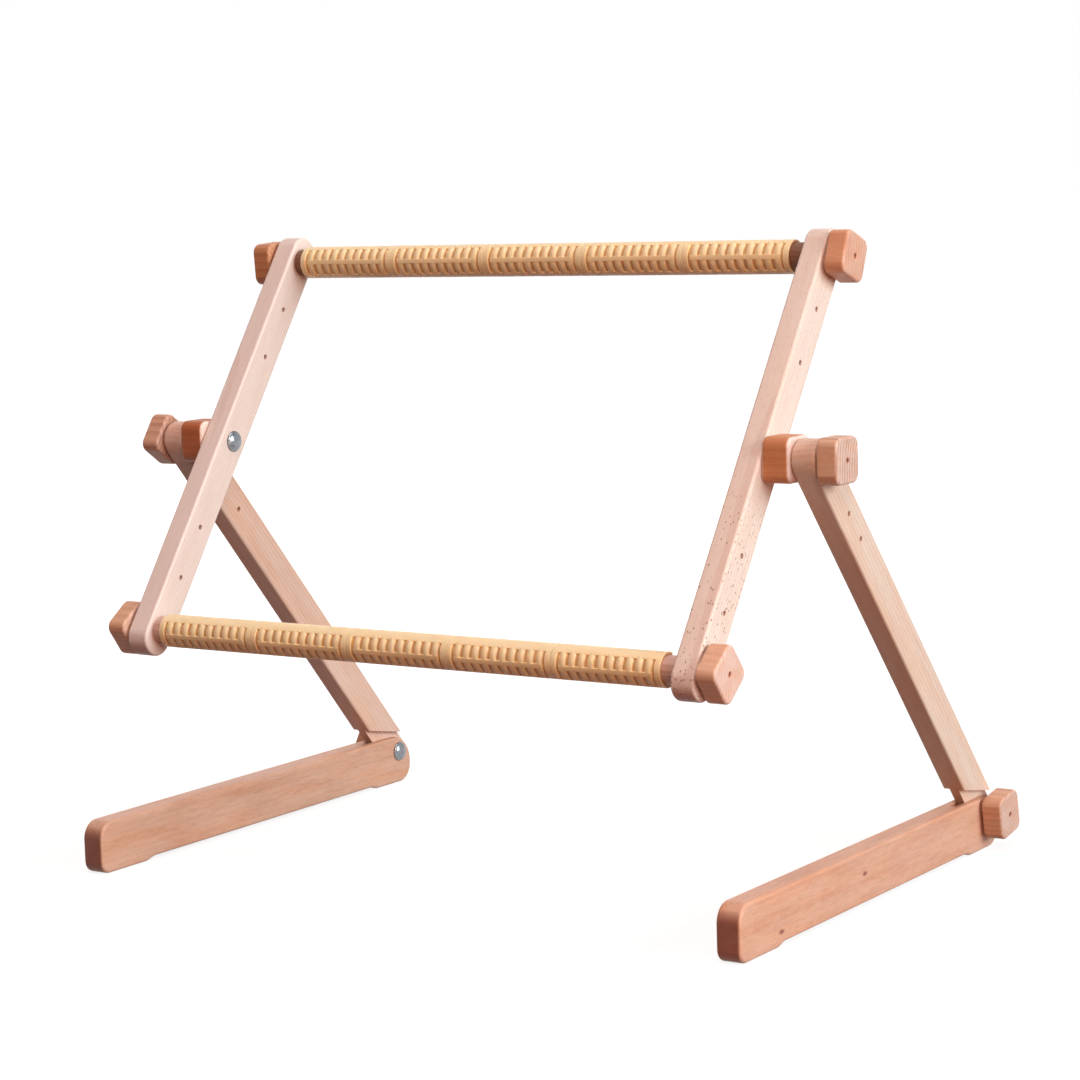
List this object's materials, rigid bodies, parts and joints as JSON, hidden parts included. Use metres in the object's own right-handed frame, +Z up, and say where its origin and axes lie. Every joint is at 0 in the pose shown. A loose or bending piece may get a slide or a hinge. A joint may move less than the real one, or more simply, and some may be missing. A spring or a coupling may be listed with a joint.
{
  "type": "embroidery scroll frame stand",
  "caption": "Floor or table stand of beech bars that holds a tilting scroll frame, whose two clip-covered rollers stretch and wind embroidery cloth.",
  "frame": {"origin": "centre of the bounding box in plan, at the underside of the feet", "axes": "+X along the rollers towards the right-hand foot as seen from the worker in front, +Y to the back away from the worker, +Z up"},
  "size_m": [0.748, 0.489, 0.5795],
  "materials": {
    "beech": "steamed beech, planed and oiled, pale pinkish brown",
    "dowel": "steamed beech dowel, oiled, darker brown",
    "cloth_clip": "honey-coloured polypropylene, semi-matte",
    "zinc_plate": "bright zinc plate"
  },
  "bodies": {
    "left_foot": {"left_foot": "beech", "left_foot_bolt": "zinc_plate", "left_foot_washer": "zinc_plate"},
    "left_leg": {"left_leg": "beech"},
    "frame": {"left_arm": "beech", "right_arm": "beech", "left_pivot_bolt": "zinc_plate", "right_pivot_bolt": "zinc_plate", "left_pivot_washer": "zinc_plate", "right_pivot_washer": "zinc_plate", "left_top_washer": "zinc_plate", "right_top_washer": "zinc_plate", "left_bottom_washer": "zinc_plate", "right_bottom_washer": "zinc_plate"},
    "right_leg": {"right_leg": "beech"},
    "right_foot": {"right_foot": "beech", "right_foot_bolt": "zinc_plate", "right_foot_washer": "zinc_plate"},
    "top_roller": {"top_roller": "dowel", "left_top_stud": "zinc_plate", "right_top_stud": "zinc_plate", "top_clip_1": "cloth_clip", "top_clip_2": "cloth_clip", "top_clip_3": "cloth_clip", "top_clip_4": "cloth_clip", "top_clip_5": "cloth_clip"},
    "bottom_roller": {"bottom_roller": "dowel", "left_bottom_stud": "zinc_plate", "right_bottom_stud": "zinc_plate", "bottom_clip_1": "cloth_clip", "bottom_clip_2": "cloth_clip", "bottom_clip_3": "cloth_clip", "bottom_clip_4": "cloth_clip", "bottom_clip_5": "cloth_clip"},
    "left_spacer_block": {"left_spacer_block": "beech"},
    "left_foot_knob": {"left_foot_knob": "beech", "left_foot_knob_nut": "zinc_plate"},
    "left_pivot_knob": {"left_pivot_knob": "beech", "left_pivot_knob_nut": "zinc_plate"},
    "left_top_knob": {"left_top_knob": "beech", "left_top_knob_nut": "zinc_plate"},
    "left_bottom_knob": {"left_bottom_knob": "beech", "left_bottom_knob_nut": "zinc_plate"},
    "right_spacer_block": {"right_spacer_block": "beech"},
    "right_foot_knob": {"right_foot_knob": "beech", "right_foot_knob_nut": "zinc_plate"},
    "right_pivot_knob": {"right_pivot_knob": "beech", "right_pivot_knob_nut": "zinc_plate"},
    "right_top_knob": {"right_top_knob": "beech", "right_top_knob_nut": "zinc_plate"},
    "right_bottom_knob": {"right_bottom_knob": "beech", "right_bottom_knob_nut": "zinc_plate"}
  },
  "joints": [
    {"name": "left_leg_lean", "type": "hinge", "parent": "left_foot", "child": "left_leg", "pos_m": [-0.34055, 0.22044, 0.033], "axis": [1, 0, 0], "range_deg": [-88, 15.1]},
    {"name": "frame_tilt", "type": "hinge", "parent": "left_leg", "child": "frame", "pos_m": [-0.34055, -0.08826, 0.3919], "axis": [1, 0, 0], "continuous": true},
    {"name": "right_leg_tilt", "type": "hinge", "parent": "frame", "child": "right_leg", "pos_m": [0.34055, -0.08826, 0.3919], "axis": [1, 0, 0], "continuous": true},
    {"name": "right_foot_lean", "type": "hinge", "parent": "right_leg", "child": "right_foot", "pos_m": [0.34055, 0.22044, 0.033], "axis": [1, 0, 0], "range_deg": [-15.1, 88]},
    {"name": "top_roller_turn", "type": "hinge", "parent": "frame", "child": "top_roller", "pos_m": [0, 0.02645, 0.55573], "axis": [1, 0, 0], "continuous": true},
    {"name": "bottom_roller_turn", "type": "hinge", "parent": "frame", "child": "bottom_roller", "pos_m": [0, -0.20298, 0.22807], "axis": [1, 0, 0], "continuous": true},
    {"name": "left_top_knob_turn", "type": "hinge", "parent": "top_roller", "child": "left_top_knob", "pos_m": [-0.3142, 0.02645, 0.55573], "axis": [1, 0, 0], "continuous": true},
    {"name": "left_bottom_knob_turn", "type": "hinge", "parent": "bottom_roller", "child": "left_bottom_knob", "pos_m": [-0.3142, -0.20298, 0.22807], "axis": [1, 0, 0], "continuous": true},
    {"name": "left_pivot_knob_turn", "type": "hinge", "parent": "frame", "child": "left_pivot_knob", "pos_m": [-0.3638, -0.08826, 0.3919], "axis": [1, 0, 0], "continuous": true},
    {"name": "left_foot_knob_turn", "type": "hinge", "parent": "left_foot", "child": "left_foot_knob", "pos_m": [-0.3638, 0.22044, 0.033], "axis": [1, 0, 0], "continuous": true},
    {"name": "left_spacer_block_turn", "type": "hinge", "parent": "frame", "child": "left_spacer_block", "pos_m": [-0.3162, -0.08826, 0.3919], "axis": [1, 0, 0], "continuous": true},
    {"name": "right_top_knob_turn", "type": "hinge", "parent": "top_roller", "child": "right_top_knob", "pos_m": [0.3142, 0.02645, 0.55573], "axis": [1, 0, 0], "continuous": true},
    {"name": "right_bottom_knob_turn", "type": "hinge", "parent": "bottom_roller", "child": "right_bottom_knob", "pos_m": [0.3142, -0.20298, 0.22807], "axis": [1, 0, 0], "continuous": true},
    {"name": "right_pivot_knob_turn", "type": "hinge", "parent": "frame", "child": "right_pivot_knob", "pos_m": [0.3638, -0.08826, 0.3919], "axis": [1, 0, 0], "continuous": true},
    {"name": "right_foot_knob_turn", "type": "hinge", "parent": "right_foot", "child": "right_foot_knob", "pos_m": [0.3638, 0.22044, 0.033], "axis": [1, 0, 0], "continuous": true},
    {"name": "right_spacer_block_turn", "type": "hinge", "parent": "frame", "child": "right_spacer_block", "pos_m": [0.3162, -0.08826, 0.3919], "axis": [1, 0, 0], "continuous": true}
  ],
  "couplings": [
    {"joint": "right_leg_tilt", "follows": "frame_tilt", "ratio": -1},
    {"joint": "right_foot_lean", "follows": "left_leg_lean", "ratio": -1}
  ]
}
